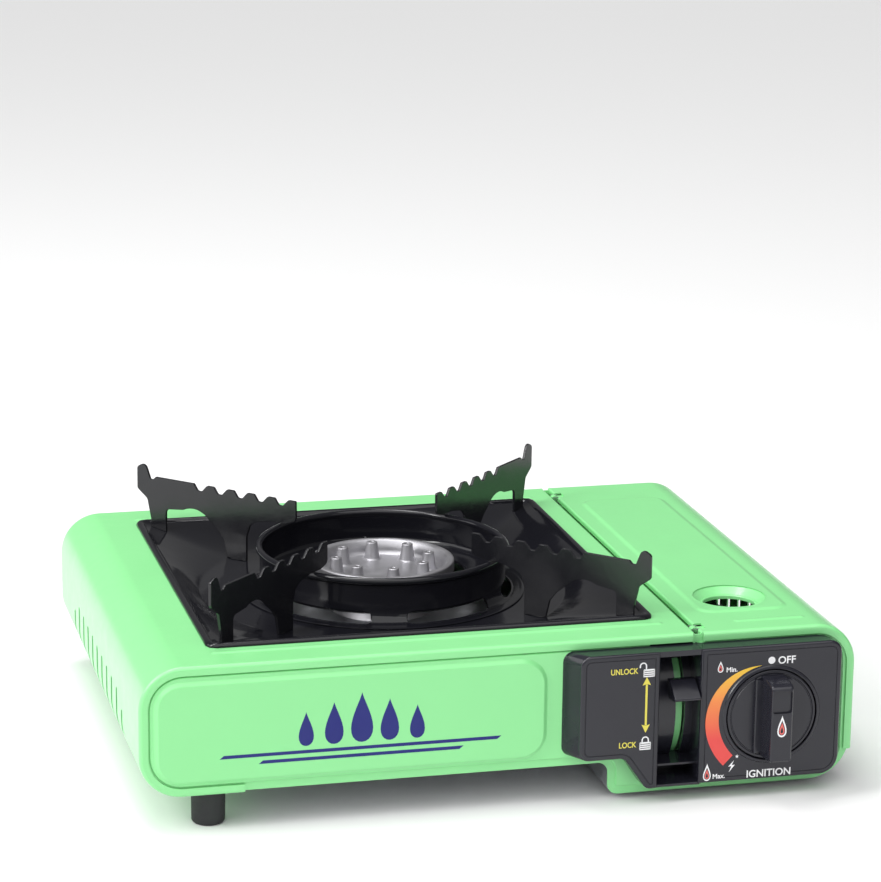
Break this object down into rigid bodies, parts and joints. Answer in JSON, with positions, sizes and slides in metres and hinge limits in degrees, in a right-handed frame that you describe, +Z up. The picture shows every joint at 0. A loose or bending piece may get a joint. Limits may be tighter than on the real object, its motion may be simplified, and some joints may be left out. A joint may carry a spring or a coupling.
{
  "type": "camping stove",
  "caption": "Portable one-burner cartridge stove with hinged fuel lid, lift-out drip pan, four pan supports, gas knob with igniter and a cartridge lock lever.",
  "frame": {"origin": "on the ground, at the centre of the whole stove's footprint, knob included", "axes": "+X to the user's right, +Y to the back, away from the controls, +Z up"},
  "size_m": [0.342, 0.287, 0.1126],
  "materials": {
    "green_paint": "glossy light green paint on pressed steel",
    "black_enamel": "glossy black vitreous enamel",
    "zinc_plate": "zinc-plated sheet steel",
    "cast_aluminium": "bead-blasted die casting",
    "black_plastic": "satin black moulding",
    "grey_plastic": "dark grey moulding",
    "white_plastic": "white moulding",
    "rubber": "black rubber",
    "brass": "turned brass",
    "steel": "bright zinc-plated steel",
    "ceramic": "white glazed ceramic",
    "wire_cover": "white silicone sleeve",
    "pipe": "drawn aluminium tube"
  },
  "bodies": {
    "body": {"top_cover": "green_paint", "front_panel": "green_paint", "rear_panel": "green_paint", "bottom_plate": "zinc_plate", "partition_wall": "zinc_plate", "reflector_plate": "zinc_plate", "cartridge_cradle": "zinc_plate", "control_panel": "black_plastic", "foot_front_left": "rubber", "foot_rear_left": "rubber", "foot_front_right": "rubber", "foot_rear_right": "rubber", "foot_screws": "steel", "rear_panel_screws": "steel", "burner_bracket": "zinc_plate", "burner_base": "cast_aluminium", "burner_head": "cast_aluminium", "burner_screws": "steel", "mixing_tube": "zinc_plate", "injector": "brass", "gas_pipe": "pipe", "pipe_nuts": "brass", "regulator_bracket": "zinc_plate", "regulator_body": "cast_aluminium", "regulator_cap": "zinc_plate", "regulator_screws": "steel", "inlet_seal": "rubber", "piezo_body": "grey_plastic", "ignition_wire": "wire_cover", "electrode_bracket": "zinc_plate", "electrode_insulator": "ceramic", "electrode_tip": "steel", "lever_pin": "steel", "lever_clip": "steel", "pusher_guide_pins": "steel", "hinge_ears": "zinc_plate", "lid_hinge_pins": "steel"},
    "knob": {"control_knob": "black_plastic", "valve_spindle": "brass", "knob_clip": "steel", "igniter_cam": "grey_plastic"},
    "plunger": {"piezo_plunger": "white_plastic"},
    "lever": {"lock_lever": "green_paint", "lever_tab": "black_plastic"},
    "pusher": {"cartridge_pusher": "zinc_plate"},
    "lid": {"fuel_lid": "green_paint"},
    "pan": {"drip_pan": "black_enamel", "wind_ring": "black_enamel", "pan_support_front_left": "black_enamel", "pan_support_front_right": "black_enamel", "pan_support_rear_left": "black_enamel", "pan_support_rear_right": "black_enamel"}
  },
  "joints": [
    {"name": "knob_turn", "type": "hinge", "parent": "body", "child": "knob", "pos_m": [0.126, -0.1285, 0.041], "axis": [0, -1, 0], "range_deg": [0, 140]},
    {"name": "plunger_slide", "type": "slide", "parent": "body", "child": "plunger", "axis": [1, 0, 0], "range_m": [0, 0.00501]},
    {"name": "lever_swing", "type": "hinge", "parent": "body", "child": "lever", "pos_m": [0.0852, -0.0785, 0.041], "axis": [1, 0, 0], "range_deg": [0, 35]},
    {"name": "pusher_slide", "type": "slide", "parent": "body", "child": "pusher", "axis": [0, -1, 0], "range_m": [0, 0.00724]},
    {"name": "lid_hinge", "type": "hinge", "parent": "body", "child": "lid", "pos_m": [0.0932, 0.0125, 0.078], "axis": [0, -1, 0], "range_deg": [0, 90]},
    {"name": "pan_lift", "type": "slide", "parent": "body", "child": "pan", "axis": [0, 0, 1], "range_m": [0, 0.08]}
  ],
  "couplings": [
    {"joint": "plunger_slide", "follows": "knob_turn", "m_per_rad": 0.0020463},
    {"joint": "pusher_slide", "follows": "lever_swing", "m_per_rad": 0.011814}
  ]
}
